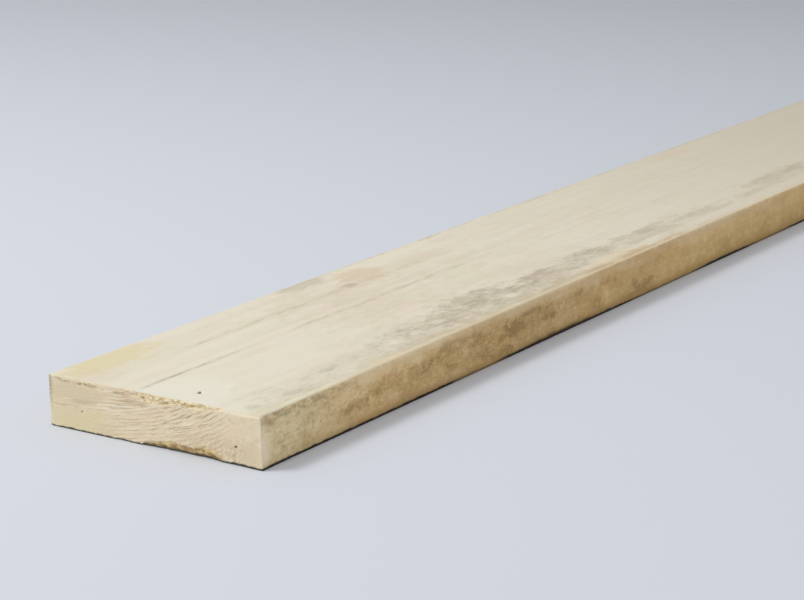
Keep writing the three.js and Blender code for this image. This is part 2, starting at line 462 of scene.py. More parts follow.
def holes(points):
    """The depth, on each axis, of the pin holes and the check. A leaning pin hole is an
    ellipse on the face."""
    along, across, height = points.T
    depth = np.zeros_like(points)
    for pin_across, pin_height, pin_radius, pin_depth in END_PINS:
        off_pin = np.hypot(across - pin_across, height - pin_height)
        depth[:, 0] += (along <= 0) * pit(off_pin, pin_radius, pin_depth)
    off_along, off_across = along - TOP_PIN_ALONG, across - TOP_PIN_ACROSS
    lengthwise = off_along * np.cos(TOP_PIN_HEADING) - off_across * np.sin(TOP_PIN_HEADING)
    crosswise = off_along * np.sin(TOP_PIN_HEADING) + off_across * np.cos(TOP_PIN_HEADING)
    off_pin = np.hypot(lengthwise * np.cos(TOP_PIN_LEAN), crosswise)
    top_pit = pit(off_pin, TOP_PIN_RADIUS, TOP_PIN_DEPTH)
    part = np.clip((along - CHECK_FROM_END) / CHECK_LENGTH, 0, 1)
    gape = np.sqrt(np.clip(np.sin(np.pi * part), 0, 1))
    vee = np.clip(1 - np.abs(across - CHECK_ACROSS) / (CHECK_WIDTH / 2), 0, 1)
    depth[:, 2] += (height >= THICKNESS) * (top_pit + CHECK_DEPTH * vee * gape)
    return depth


inwards = np.sign(np.array([LENGTH, WIDTH, THICKNESS]) / 2 - box_points)
skin = skin + inwards * (relief(box_points, skin, torn_fibre) + holes(box_points))
print(f"skin moved by up to {np.abs(skin - box_points).max():.2f} mm in all")


# %% Put the skin into a mesh
def closed_mesh(name, points, faces):
    """A smooth-shaded mesh object, at the origin, from board coordinates and arrays of faces."""
    mesh = bpy.data.meshes.new(name)
    corners = [corner for array in faces for corner in array.tolist()]
    mesh.from_pydata(placed(*points.T), [], corners)
    mesh.polygons.foreach_set("use_smooth", np.ones(len(mesh.polygons), bool))
    mesh.validate()
    made = bpy.data.objects.new(name, mesh)
    bpy.context.scene.collection.objects.link(made)
    return made


plank = closed_mesh("sawn_plank", skin, lattice.faces)
torn_mask = plank.data.attributes.new("torn", "FLOAT", "POINT")
torn_mask.data.foreach_set("value", torn_fibre.astype(np.float32))
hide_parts("plank")
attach(plank, "root")
print(f"{plank.name}: {len(plank.data.polygons)} faces")

# %% [markdown]
# ## Drawing with nodes
# A material is a graph of small nodes, and each does one sum, one noise or one blend. It could
# be drawn by hand in the shader editor. Here short functions add the nodes, so that a line reads
# like the formula that it stands for. A socket knows the tree it stands in, so the functions
# find by themselves where a new node goes.

# %% Add a node and feed its sockets
def feed(socket, value):
    """Links a socket to another one, or sets its value."""
    if isinstance(value, bpy.types.NodeSocket):
        socket.id_data.links.new(value, socket)
    else:
        socket.default_value = value


def add_node(tree, kind, inputs=None, **settings):
    """A node of this kind, with its settings, and its inputs set or linked by name or number."""
    made = tree.nodes.new(kind)
    for key, value in settings.items():
        setattr(made, key, value)
    for key, value in (inputs or {}).items():
        feed(made.inputs[key], value)
    return made


def tree_of(*values):
    """The node tree of the first socket among some values."""
    return next(value.id_data for value in values if isinstance(value, bpy.types.NodeSocket))


# %% Sums and steps
def maths(operation, *values):
    """One step of arithmetic."""
    made = add_node(tree_of(*values), "ShaderNodeMath", dict(enumerate(values)),
                    operation=operation)
    return made.outputs[0]


def vector_maths(operation, *values):
    """One step of arithmetic on vectors. LENGTH gives a number, and the rest give a vector."""
    made = add_node(tree_of(*values), "ShaderNodeVectorMath", dict(enumerate(values)),
                    operation=operation)
    return made.outputs["Value" if operation == "LENGTH" else "Vector"]


def rise(value, low, high):
    """0 below low and 1 above high, with a smooth step between. It falls if low > high."""
    if low > high:
        return maths("SUBTRACT", 1.0, rise(value, high, low))
    made = add_node(tree_of(value), "ShaderNodeMapRange", interpolation_type="SMOOTHSTEP",
                    inputs={"Value": value, "From Min": low, "From Max": high})
    return made.outputs[0]


def times(*values):
    """The product of masks and numbers."""
    result = values[0]
    for value in values[1:]:
        result = maths("MULTIPLY", result, value)
    return result


def between(mask, low, high):
    """A number that goes from low to high as a mask goes from 0 to 1."""
    return maths("MULTIPLY_ADD", mask, high - low, low)


def shifted(value, wobble, amount):
    """A value moved up or down by noise: value + amount x (wobble - one half)."""
    return maths("ADD", value, maths("MULTIPLY_ADD", wobble, amount, -amount / 2))


def axes(vector):
    """The three parts of a vector, which are along, across and height on the board."""
    return add_node(tree_of(vector), "ShaderNodeSeparateXYZ", {"Vector": vector}).outputs


# %% Noise and blends
SEED_SHIFTS = (1.0, 1.7, 2.3)
BLEND_SOCKETS, BLEND_RESULT = (0, 6, 7), 2


def noise(vector, cell, detail=2.0, roughness=0.5, seed=0.0):
    """Noise from 0 to 1 on board coordinates. cell is its size in mm, one for each axis."""
    scaled = add_node(tree_of(vector), "ShaderNodeMapping", {
        "Vector": vector, "Location": tuple(seed * shift for shift in SEED_SHIFTS),
        "Scale": tuple(1 / size for size in cell)}).outputs[0]
    made = add_node(tree_of(vector), "ShaderNodeTexNoise", {
        "Vector": scaled, "Scale": 1.0, "Detail": detail, "Roughness": roughness})
    return made.outputs[0]


def blend(factor, first, second):
    """A blend of two colours: the first where the factor is 0 and the second where it is 1."""
    made = add_node(tree_of(factor), "ShaderNodeMix", data_type="RGBA")
    for index, value in zip(BLEND_SOCKETS, (factor, first, second)):
        feed(made.inputs[index], (*value, 1.0) if isinstance(value, tuple) else value)
    return made.outputs[BLEND_RESULT]


# %% Shared effects
NUMBER, VECTOR, COLOUR = "NodeSocketFloat", "NodeSocketVector", "NodeSocketColor"


def new_effect(name, inputs, outputs):
    """An empty node group, the sockets that it is given and those of its result. Each input and
    output is a name with its kind."""
    group = bpy.data.node_groups.new(name, "ShaderNodeTree")
    for sockets, way in ((inputs, "INPUT"), (outputs, "OUTPUT")):
        for label, kind in sockets.items():
            group.interface.new_socket(label, in_out=way, socket_type=kind)
    given = add_node(group, "NodeGroupInput").outputs
    result = add_node(group, "NodeGroupOutput").inputs
    return group, given, result


def effect(group, **inputs):
    """The outputs of a shared effect, placed with values of its own."""
    made = add_node(tree_of(*inputs.values()), "ShaderNodeGroup", node_tree=group)
    for key, value in inputs.items():
        feed(made.inputs[key.capitalize()], value)
    return made.outputs


# %% [markdown]
# ## Growth rings as a shared effect
# Every face of a board cuts the same rings. They could be painted on each face by itself, but
# then they would not meet at the arrises. One group repeats the ring field above in nodes and
# serves all three finishes. Far from the near end the rings wander, as a tree is never quite
# straight. Besides the stripes, the group gives coordinates that follow the rings, on which
# noise becomes streaks along them.

# %% The ring group
RING_WANDER, WANDER_STRETCH = 9.0, (150.0, 1100.0)
LINE_START = 0.68

rings_effect, given, result = new_effect(
    "growth_rings", {"Board": VECTOR, "Waver": NUMBER},
    {"Latewood": NUMBER, "Line": NUMBER, "Tone": NUMBER, "Flow": VECTOR})
board = given["Board"]
along, across, height = axes(board)
share = maths("MAXIMUM", maths("DIVIDE", across, WIDTH), 0.0)
curve = maths("MULTIPLY_ADD", maths("POWER", share, RING_POWER), RING_RISE,
              maths("MULTIPLY", across, RING_SLOPE))
drift = maths("SUBTRACT", noise(board, (900, 240, 240), 1.0, 0.4, 3.0), 0.5)
wander = times(rise(along, *WANDER_STRETCH), drift)
level = maths("MULTIPLY_ADD", wander, RING_WANDER, maths("SUBTRACT", height, curve))
pitch = between(rise(across, *STEEP_BAND), FLAT_PITCH, STEEP_PITCH)
count = maths("DIVIDE", maths("SUBTRACT", RING_START, level), pitch)
ripple = maths("SUBTRACT", noise(board, (60, 6, 5), 3.0, 0.55, 8.0), 0.5)
count = maths("MULTIPLY_ADD", ripple, given["Waver"], count)
part = maths("FRACT", count)
late_end = rise(part, 1.0, LATE_END)
tone = add_node(rings_effect, "ShaderNodeTexWhiteNoise", {"W": maths("FLOOR", count)},
                noise_dimensions="1D")
flow = add_node(rings_effect, "ShaderNodeCombineXYZ",
                {"X": along, "Y": across, "Z": times(count, pitch)})
feed(result["Latewood"], times(rise(part, LATE_START, LATE_FULL), late_end))
feed(result["Line"], times(rise(part, LINE_START, LATE_FULL), late_end))
feed(result["Tone"], tone.outputs[0])
feed(result["Flow"], flow.outputs[0])
print("effect:", rings_effect.name)

# %% [markdown]
# ## Fibre, mould, stains and rubbed arrises as shared effects
# Fibres are fine streaks along the grain. Mould is patchy at two scales: soft blotches a few
# millimetres wide, and specks inside them. A stain is one ragged patch at a place of its own.
# All three could be painted by hand, but noise keeps its fineness at any distance and follows
# the wood round a corner. Handling rubs the arrises paler, in a band with an uneven edge. On any
# face of a box, the distance to the nearest arris is the middle one of the three distances to
# its faces, so no curve has to be found in the mesh.

# %% The fibre group
fibre_effect, given, result = new_effect(
    "wood_fibre", {"Board": VECTOR}, {"Streak": NUMBER, "Hair": NUMBER})
feed(result["Streak"], noise(given["Board"], (90, 3.2, 3.2), 3.0, 0.55, 1.0))
feed(result["Hair"], noise(given["Board"], (12, 0.5, 0.5), 2.0, 0.6, 5.0))
print("effect:", fibre_effect.name)

# %% The mould group
mould_effect, given, result = new_effect(
    "mould_mottle", {"Board": VECTOR, "Cover": NUMBER}, {"Blotch": NUMBER, "Speck": NUMBER})
patchy = noise(given["Board"], (14, 8, 8), 4.0, 0.62, 12.0)
fine = noise(given["Board"], (4.5, 2.6, 2.6), 3.0, 0.65, 31.0)
bare = maths("SUBTRACT", 1.0, given["Cover"])
blotch = maths("SUBTRACT", patchy, between(bare, 0.35, 0.65))
speck = maths("SUBTRACT", fine, between(bare, 0.38, 0.68))
feed(result["Blotch"], rise(blotch, -0.10, 0.16))
feed(result["Speck"], times(rise(speck, -0.04, 0.14), rise(blotch, -0.14, 0.06)))
print("effect:", mould_effect.name)

# %% The stain group
STAIN_RAGGEDNESS = 3.0

stain_effect, given, result = new_effect(
    "stain_patch", {"Board": VECTOR, "Centre": VECTOR, "Reach": VECTOR, "Ragged": NUMBER},
    {"Mask": NUMBER})
offset = vector_maths("SUBTRACT", given["Board"], given["Centre"])
distance = vector_maths("LENGTH", vector_maths("DIVIDE", offset, given["Reach"]))
border = maths("SUBTRACT", noise(given["Board"], (7, 4, 4), 6.0, 0.70, 19.0), 0.5)
distance = maths("MULTIPLY_ADD", border, times(given["Ragged"], STAIN_RAGGEDNESS), distance)
feed(result["Mask"], rise(distance, 1.15, 0.45))
print("effect:", stain_effect.name)

# %% The rubbed-arris group
arris_effect, given, result = new_effect(
    "rubbed_arris", {"Board": VECTOR, "Band": NUMBER}, {"Rubbed": NUMBER})
first, second, third = (maths("MINIMUM", part, maths("SUBTRACT", span, part))
                        for part, span in zip(axes(given["Board"]), (LENGTH, WIDTH, THICKNESS)))
lesser, greater = maths("MINIMUM", first, second), maths("MAXIMUM", first, second)
middle = maths("MAXIMUM", lesser, maths("MINIMUM", greater, third))
uneven_edge = noise(given["Board"], (7, 2.0, 2.0), 3.0, 0.6, 17.0)
edge = times(given["Band"], between(uneven_edge, 0.1, 1.9))
feed(result["Rubbed"], rise(maths("DIVIDE", middle, edge), 1.15, 0.35))
print("effect:", arris_effect.name)

# %% [markdown]
# ## Torn fibre as a shared effect
# Where the saw tore the arrises, splinters and pits a millimetre wide show fresh wood in gold,
# brown and pale straw. Each splinter could be modelled, but it would be smaller than a face of
# the skin. The torn attribute of the skin says where they are, and noise makes them ragged.

# %% The torn-fibre group
TORN_GOLD, TORN_BROWN, TORN_STRAW = (0.86, 0.70, 0.43), (0.54, 0.39, 0.19), (0.98, 0.86, 0.62)

torn_effect, given, result = new_effect(
    "torn_fibre", {"Board": VECTOR, "Torn": NUMBER},
    {"Colour": COLOUR, "Cover": NUMBER, "Crumb": NUMBER})
crumb = noise(given["Board"], (2.5, 2.6, 1.3), 3.0, 0.6, 61.0)
fleck = noise(given["Board"], (1.6, 1.6, 1.0), 3.0, 0.55, 66.0)
tint = blend(rise(crumb, 0.40, 0.54), TORN_BROWN, TORN_GOLD)
feed(result["Colour"], blend(rise(fleck, 0.50, 0.66), tint, TORN_STRAW))
feed(result["Cover"], rise(shifted(given["Torn"], crumb, 0.9), 0.30, 0.55))
feed(result["Crumb"], crumb)
print("effect:", torn_effect.name)

# %% [markdown]
# ## A finish is laid in coats
# Weathered wood gets its colour layer by layer: pale wood, then rings, then stains, mould and
# wear. A finish is made in the same order. It starts from plain wood, and each coat covers the
# ones below where its masks allow. Masks are steps along the board, across it or up it, in mm:
# rise(along, 60, 100) is 0 up to 60 mm from the near end and 1 from 100 mm on. A mark needs only
# a place and a reach on its own face. A finish could be one long chain of nodes instead, but then
# no coat could be found in it again.

# %% The finish
THROUGH = 9.0
PIN_SHADOW = (0.09, 0.06, 0.03)


class Finish:
    """A material for one kind of face, "top", "side" or "end", with its board coordinates in mm
    and its colour so far."""

    def __init__(self, name, face, plain_wood):
        self.material = bpy.data.materials.new(name)
        self.material.use_nodes = True
        self.face, self.colour, self.tree = face, plain_wood, self.material.node_tree
        self.tree.nodes.clear()
        self.shader = add_node(self.tree, "ShaderNodeBsdfPrincipled")
        add_node(self.tree, "ShaderNodeOutputMaterial", {"Surface": self.shader.outputs[0]})
        own = add_node(self.tree, "ShaderNodeTexCoord").outputs["Object"]
        self.board = add_node(self.tree, "ShaderNodeMapping", {
            "Vector": own,
            "Location": (-plank_low.x / MILLIMETRE, plank_high.y / MILLIMETRE, 0.0),
            "Scale": (1 / MILLIMETRE, -1 / MILLIMETRE, 1 / MILLIMETRE)}).outputs[0]

    def on_face(self, place, reach):
        """Centre and reach of a mark in board coordinates. place and reach are given along and
        across on top, along and up on a side, and across and up on an end. A mark reaches less
        far through the board than to the opposite face."""
        (a, b), (reach_a, reach_b) = place, reach
        return {"top": ((a, b, THICKNESS), (reach_a, reach_b, THROUGH)),
                "side": ((a, WIDTH, b), (reach_a, THROUGH, reach_b)),
                "end": ((0.0, a, b), (THROUGH, reach_a, reach_b))}[self.face]

    def patch(self, place, reach, ragged=0.6, on=None):
        """The mask of a ragged patch, on board coordinates or on others."""
        centre, reach = self.on_face(place, reach)
        on = self.board if on is None else on
        return effect(stain_effect, board=on, centre=centre, reach=reach, ragged=ragged)["Mask"]

    def lay(self, tint, *masks):
        """A coat of a tint, as dense as the product of masks and numbers."""
        self.colour = blend(times(*masks), self.colour, tint)

    def dapple(self, pattern, coats, *masks):
        """Coats drawn by one noise. Each is a tint, where in the noise it starts and where it is
        full, and its strength."""
        for tint, start, full, strength in coats:
            self.lay(tint, rise(pattern, start, full), *masks, strength)

    def stain(self, tint, strength, place, reach, ragged=0.6, on=None):
        """A coat of a tint in one ragged patch."""
        self.lay(tint, self.patch(place, reach, ragged, on), strength)

    def pin_hole(self, strength, place, reach, turn=0.0):
        """The shadow in a pin hole: an ellipse, turned about the upright axis."""
        centre, reach = self.on_face(place, reach)
        unit = add_node(self.tree, "ShaderNodeMapping", vector_type="TEXTURE", inputs={
            "Vector": self.board, "Location": centre, "Rotation": (0, 0, turn),
            "Scale": reach}).outputs[0]
        self.lay(PIN_SHADOW, rise(vector_maths("LENGTH", unit), 1.25, 0.6), strength)

    def splinters(self):
        """The torn-fibre effect, led by the skin's torn attribute."""
        torn = add_node(self.tree, "ShaderNodeAttribute", attribute_name="torn").outputs["Fac"]
        return effect(torn_effect, board=self.board, torn=torn)

    def surface(self, roughness, specular, *bumps):
        """Feeds the shader. A bump is a height from 0 to 1 with its worth in mm, and each one
        lies over the one before."""
        inputs = self.shader.inputs
        for height, depth in bumps:
            bump = add_node(self.tree, "ShaderNodeBump", {
                "Height": height, "Strength": 1.0, "Distance": depth * MILLIMETRE})
            if inputs["Normal"].is_linked:
                feed(bump.inputs["Normal"], inputs["Normal"].links[0].from_socket)
            feed(inputs["Normal"], bump.outputs[0])
        feed(inputs["Base Color"], self.colour)
        feed(inputs["Roughness"], roughness)
        inputs["Specular IOR Level"].default_value = specular
        print("finish:", self.material.name)


# %% [markdown]
# ## The broad faces
# The broad faces are pale, dry sapwood, warmer and greener in slow clouds. Painted shade darkens
# them away from the near end, where the light falls off. One painting of wood could be stretched
# over each, but it would blur close by and wouldn't meet the rings of the end. So each cause of
# colour is a coat of its own, drawn by noise, and the coats can be changed one by one.

# %% Pale wood
CREAM, DRIFT_TINT, STRIPE = (0.79, 0.73, 0.59), (0.73, 0.64, 0.49), (0.61, 0.53, 0.39)
GREENISH, PINKISH = (0.755, 0.745, 0.575), (0.80, 0.72, 0.60)
# Each: strength, place and reach.
DULL_AREAS = [(0.90, (142, 40), (44, 48)), (0.55, (215, 62), (62, 40))]

broad = Finish("flat_sawn_face", "top", CREAM)
board = broad.board
along, across, height = axes(board)
drift = noise(board, (70, 22, 22), 2.0, 0.5, 41.0)
cloud = noise(board, (24, 9, 9), 3.0, 0.55, 47.0)
hue = noise(board, (24, 12, 12), 3.0, 0.55, 44.0)
broad.lay(DRIFT_TINT, rise(drift, 0.4, 0.75), 0.35)
for strength, place, reach in DULL_AREAS:
    broad.stain(DRIFT_TINT, strength, place, reach)
broad.lay(STRIPE, rise(cloud, 0.45, 0.75), 0.22)
broad.dapple(hue, [(GREENISH, 0.50, 0.68, 0.45), (PINKISH, 0.52, 0.34, 0.60)])
print("pale wood laid")

# %% Rings and fibre
CHALKY = (0.80, 0.765, 0.65)

rings = effect(rings_effect, board=board, waver=0.5)
fibre = effect(fibre_effect, board=board)
knotty = noise(board, (7, 2.5, 2.5), 3.0, 0.6, 59.0)
few_rings = maths("MAXIMUM", rise(across, 58.0, 44.0), 0.25)
stripe = times(rings["Latewood"], between(rings["Tone"], 0.1, 0.9), few_rings)
past_end = rise(along, 60.0, 100.0)
broad.lay(STRIPE, stripe, 0.26)
broad.lay(STRIPE, rise(fibre["Streak"], 0.45, 0.75), between(past_end, 0.12, 0.22))
broad.dapple(knotty, [(STRIPE, 0.54, 0.70, 0.16), (CHALKY, 0.46, 0.32, 0.30)], past_end)
print("rings and fibre laid")

# %% [markdown]
# Two grain lines show beside the near end and fade out farther off. Each is soft on one side,
# where the latewood comes in slowly, and sharp on the other, where the next ring starts. Two
# thin brown strips would be soft or sharp on both. So each line is a long step times a short
# one, both of the distance to the line.

# %% Grain lines
LINE_TAN, FAR_SHADE = (0.61, 0.535, 0.39), (0.60, 0.535, 0.42)
# Each line: place across, start and end along, and strength.
GRAIN_LINES = [(23.5, 40.0, 250.0, 1.0), (42.8, 82.0, 245.0, 1.25)]
LINE_RISES, LINE_FADES = 25.0, 70.0

for line_across, line_start, line_end, strength in GRAIN_LINES:
    off_line = maths("SUBTRACT", shifted(across, drift, 4.0), line_across)
    seen = times(rise(along, line_start, line_start + LINE_RISES),
                 rise(along, line_end, line_end - LINE_FADES), strength)
    broad.lay(LINE_TAN, rise(off_line, -3.6, 0.0), rise(off_line, 0.7, 0.1), seen,
              between(rise(knotty, 0.40, 0.62), 0.20, 0.82))
# Painted shade: the broad faces darken away from the near end, as the light falls off.
broad.lay(FAR_SHADE, rise(along, 150.0, 680.0), 0.85)
print(len(GRAIN_LINES), "grain lines laid")

# %% Stains on the broad faces
YELLOWED, PEACH, GREY_MOULD = (0.725, 0.635, 0.40), (0.68, 0.55, 0.39), (0.47, 0.40, 0.29)
BROAD_STAINS = [
    (YELLOWED, 0.85, (26, 7), (30, 13)),
    (PEACH, 0.30, (7, 16), (9, 12)),
    (CHALKY, 0.85, (4, 62), (26, 24)),
    (PEACH, 0.70, (179, 15), (17, 11)),
    (GREY_MOULD, 0.45, (151, 3), (18, 6)),
    (GREY_MOULD, 0.55, (161, 21.5), (5, 3)),
    (PEACH, 0.35, (214, 20), (26, 8)),
    (PEACH, 0.40, (470, 9), (26, 6)),
    (STRIPE, 0.22, (112, 77), (28, 9)),
    (STRIPE, 0.28, (246, 82), (40, 13)),
]

for stain in BROAD_STAINS:
    broad.stain(*stain)
print(len(BROAD_STAINS), "stains laid")

# %% [markdown]
# ## Mould on the broad faces
# Grey-green mould has grown along the front third, where the board stayed damp longest. It is a
# haze with darker blotches and specks in it. Specks could be scattered as small flat pieces, but
# there are thousands, and a plain noise would be the same all over. So a cover mask says how much
# mould grows where, from two bands and some patches, and the shared mottle draws it. Last come a
# few marks and clean spots with places of their own.

# %% Where the mould grows
MOULD_PLACES = [
    ((110, 83), (20, 8)), ((142, 90), (30, 9)), ((168, 82), (40, 15)), ((192, 88), (24, 8)),
    ((216, 82), (24, 8)), ((257, 82), (26, 9)), ((318, 82), (52, 8)), ((455, 80), (45, 8)),
]
PLACE_COVER = 0.66

front_band = times(rise(shifted(across, cloud, 20.0), 74.0, 84.0), rise(across, 98.6, 96.0),
                   between(rise(along, 50.0, 140.0), 0.31, 0.54))
back_band = times(rise(shifted(across, cloud, 6.0), 5.0, 1.0), rise(along, 60.0, 200.0), 0.40)
cover = maths("MAXIMUM", front_band, back_band)
for place, reach in MOULD_PLACES:
    cover = maths("MAXIMUM", cover, times(broad.patch(place, reach, 0.7), PLACE_COVER))
front_clear = times(rise(shifted(across, cloud, 6.0), 88.0, 93.0), rise(along, 222.0, 240.0))
cover = times(cover, between(front_clear, 1.0, 0.25), between(rise(along, 2.0, 13.0), 0.2, 1.0))
print(len(MOULD_PLACES), "mouldy places")

# %% Haze, blotches and specks
MOULD_HAZE, DARK_MOULD = (0.59, 0.51, 0.38), (0.31, 0.26, 0.18)

mould = effect(mould_effect, board=board, cover=cover)
mouldy = rise(cover, 0.05, 0.40)
crisp = between(rise(along, 320.0, 225.0), 0.35, 1.0)
blotch, speck = times(mould["Blotch"], mouldy, crisp), times(mould["Speck"], mouldy, crisp)
drifting = rise(noise(board, (22, 11, 11), 3.0, 0.55, 37.0), 0.32, 0.56)
broad.lay(MOULD_HAZE, rise(cover, 0.15, 0.60), drifting, 0.72)
broad.lay(GREY_MOULD, blotch, 0.32)
broad.lay(DARK_MOULD, speck, 0.34)
print("mould laid")

# %% Mould marks and clean spots
MOULD_MARKS = [
    ((204, 87), (5, 3)), ((190, 81), (6, 3)), ((222, 78), (7, 2.5)), ((139, 89), (6, 3.5)),
    ((183, 79.5), (5, 2.5)), ((167, 83), (7, 4)), ((7, 90), (4, 3)), ((27, 92), (6, 2.5)),
    ((58, 86), (8, 2.5)),
]
FAR_MARKS = [
    ((246, 83), (7, 3)), ((262, 79), (10, 2.5)), ((264, 84.5), (6, 2)), ((291, 78), (12, 3)),
    ((309, 82), (9, 3)), ((299, 87), (7, 2.5)), ((341, 84), (12, 3)), ((434, 78), (14, 3)),
    ((470, 80), (14, 4)),
]
CLEAN_SPOTS = [
    ((182, 89), (6, 3)), ((123, 91), (7, 2.5)), ((133, 85), (5, 2.5)), ((251, 90), (10, 3)),
    ((276, 88), (9, 3)),
]
MARK_RAGGED = 1.2

for tint, strength, marks in ((DARK_MOULD, 0.25, MOULD_MARKS), (DARK_MOULD, 0.17, FAR_MARKS),
                              (CREAM, 0.55, CLEAN_SPOTS)):
    for place, reach in marks:
        broad.stain(tint, strength, place, reach, MARK_RAGGED)
fluff = noise(board, (3.4, 1.7, 1.7), 3.0, 0.6, 53.0)
broad.dapple(fluff, [(CHALKY, 0.55, 0.70, 0.45), (GREY_MOULD, 0.42, 0.28, 0.35)], mouldy, crisp)
print(len(MOULD_MARKS + FAR_MARKS), "mould marks and", len(CLEAN_SPOTS), "clean spots laid")

# %% [markdown]
# ## The front edge of the broad faces
# Handling has rubbed the front arris pale, dirt has tanned it, and farther off it is stained
# gold. One even strip of paint would look drawn, because the real border frays into the face in
# shreds. So the distance across is shifted by noise before a step is made of it, which tears a
# straight border into fibres.

# %% Rubbed and tanned edge
RUBBED_WOOD, FRONT_TAN = (0.78, 0.69, 0.50), (0.58, 0.48, 0.31)

arris = effect(arris_effect, board=board, band=1.3)
fringe = noise(board, (6, 1.8, 1.8), 3.0, 0.6, 34.0)
shreds = noise(board, (13, 3.4, 3.4), 3.0, 0.6, 39.0)
broad.lay(RUBBED_WOOD, arris["Rubbed"], between(rise(along, 185.0, 210.0), 0.55, 0.09),
          between(rise(fringe, 0.42, 0.60), 0.15, 1.0))
tan_strip = maths("MULTIPLY_ADD", rise(across, 86.0, 99.8), 0.40, shreds)
broad.lay(FRONT_TAN, rise(tan_strip, 0.58, 0.98), between(rise(along, 40.0, 150.0), 0.30, 0.75),
          between(rise(along, 285.0, 350.0), 1.0, 0.30))
print("front edge rubbed and tanned")

# %% Stains and soot of the edge
EDGE_GOLD, EDGE_WARM, EDGE_CREAM = (0.53, 0.385, 0.215), (0.74, 0.60, 0.40), (0.85, 0.76, 0.53)
EDGE_DULL, SOOT = (0.55, 0.45, 0.30), (0.20, 0.165, 0.10)
EDGE_STAINS = [
    (EDGE_CREAM, 0.55, (30, 99.5), (26, 2.6)),
    (EDGE_WARM, 0.50, (80, 98), (14, 5)),
    (EDGE_DULL, 0.50, (208, 98), (15, 5)),
    (EDGE_WARM, 0.48, (262, 94), (30, 6)),
    (EDGE_GOLD, 0.75, (240, 100), (16, 6)),
    (EDGE_GOLD, 0.75, (272, 100), (20, 7)),
    (EDGE_GOLD, 0.55, (306, 100), (18, 5)),
    (EDGE_GOLD, 0.25, (350, 99), (30, 3)),
]

for stain in EDGE_STAINS:
    broad.stain(*stain)
frayed_across = shifted(shifted(across, shreds, 3.0), fringe, 6.0)
broad.lay(EDGE_WARM, rise(frayed_across, 97.0, 99.2), rise(along, 10.0, 110.0), 0.7)
sooty = noise(board, (4, 1.6, 1.6), 3.0, 0.6, 29.0)
soot_across = shifted(shifted(across, cloud, 9.0), knotty, 5.0)
broad.lay(SOOT, rise(soot_across, 96.0, 100.0), rise(along, 66.0, 40.0),
          rise(sooty, 0.48, 0.64), 0.10)
print(len(EDGE_STAINS), "edge stains laid")

# %% [markdown]
# ## Check, pin hole and torn fibre
# The check and the pin hole are dents in the skin. They could be cut deeper, but walls so narrow
# and steep need more lines than the lattice has. A thin dark line and a dark ellipse of painted
# shade stand for the depth that is out of sight.

# %% Dark gaps and splinters
CHECK_SHADOW, FOOT_SHADOW = (0.36, 0.33, 0.26), (0.05, 0.04, 0.022)
HOLE_SPREAD = (1.15, 1.1)

off_check = maths("ABSOLUTE", maths("SUBTRACT", shifted(across, cloud, 1.2), CHECK_ACROSS))
broken = rise(noise(board, (5, 1.5, 1.5), 2.0, 0.6, 57.0), 0.35, 0.6)
broad.lay(CHECK_SHADOW, rise(off_check, 1.5, 0.3), rise(along, 84.0, 30.0),
          rise(along, 1.5, 5.0), between(broken, 0.12, 0.48))
broad.pin_hole(0.95, (TOP_PIN_ALONG, TOP_PIN_ACROSS),
               (pin_reach * HOLE_SPREAD[0], TOP_PIN_RADIUS * HOLE_SPREAD[1]), -TOP_PIN_HEADING)
splinters = broad.splinters()
broad.lay(splinters["Colour"], splinters["Cover"])
broad.lay(FOOT_SHADOW, rise(height, 6.0, 4.0), rise(along, 5.0, 2.0), 0.9)
print("check, pin hole and torn fibre laid")

# %% Surface of the broad faces
grain = maths("MULTIPLY_ADD", fibre["Hair"], 0.5, times(fibre["Streak"], 0.5))
lumps = maths("MULTIPLY_ADD", speck, -0.6, noise(board, (2.4, 1.3, 1.3), 3.0, 0.6, 71.0))
broad.surface(between(grain, 0.70, 0.88), 0.3, (grain, 0.10), (lumps, 0.16), (stripe, 0.05))

# %% [markdown]
# ## The narrow faces
# The narrow faces have weathered longest. They are tan to orange-brown, greener and paler beside
# the near end, golden at the foot and duller in the middle. A colour ramp along the board could
# lay these changes, but it would stripe the face straight across. So each is a soft step along
# or up the face, and noise shifts it so that no straight border shows.

# %% Tan wood
TAN, ORANGE_TAN, OCHRE = (0.78, 0.55, 0.265), (0.78, 0.52, 0.235), (0.56, 0.375, 0.135)
OLIVE_GREY, UMBER = (0.84, 0.70, 0.43), (0.42, 0.26, 0.10)

narrow = Finish("weathered_edge", "side", TAN)
board = narrow.board
along, _, height = axes(board)
rings = effect(rings_effect, board=board, waver=0.8)
shift = noise(board, (50, 15, 15), 3.0, 0.55, 14.0)
cluster = noise(board, (15, 8, 8), 3.0, 0.6, 24.0)
near_end = rise(shifted(along, shift, 50.0), 80.0, 8.0)
narrow.lay(ORANGE_TAN, rise(shift, 0.38, 0.62))
narrow.lay(OLIVE_GREY, near_end, 0.9)
narrow.lay(OCHRE, rise(shifted(height, cluster, 12.0), 8.0, 1.5), rise(along, 120.0, 320.0), 0.72)
narrow.lay(OCHRE, rise(along, 280.0, 330.0), rise(height, 14.0, 9.0), 0.40)
narrow.lay(UMBER, rise(shifted(along, shift, 50.0), 42.0, 90.0), rise(along, 310.0, 190.0),
           between(rise(height, 11.0, 17.0), 1.0, 0.65), 0.36)
narrow.lay(UMBER, rise(along, 105.0, 140.0), rise(along, 265.0, 215.0), rise(height, 5.0, 9.0),
           0.17)
narrow.lay(UMBER, rise(along, 190.0, 290.0), 0.16)
narrow.lay(UMBER, rings["Latewood"], rings["Tone"], 0.12)
print("tan wood laid")

# %% [markdown]
# Mould mottles the narrow faces in every direction, from patches a centimetre wide down to
# grit. One noise alone would mottle them evenly, and patches laid over it would have soft borders
# of their own. So the darkest and palest places are pushed down or up in the noise itself, before
# it turns into colour, and their borders break up just as the rest does.

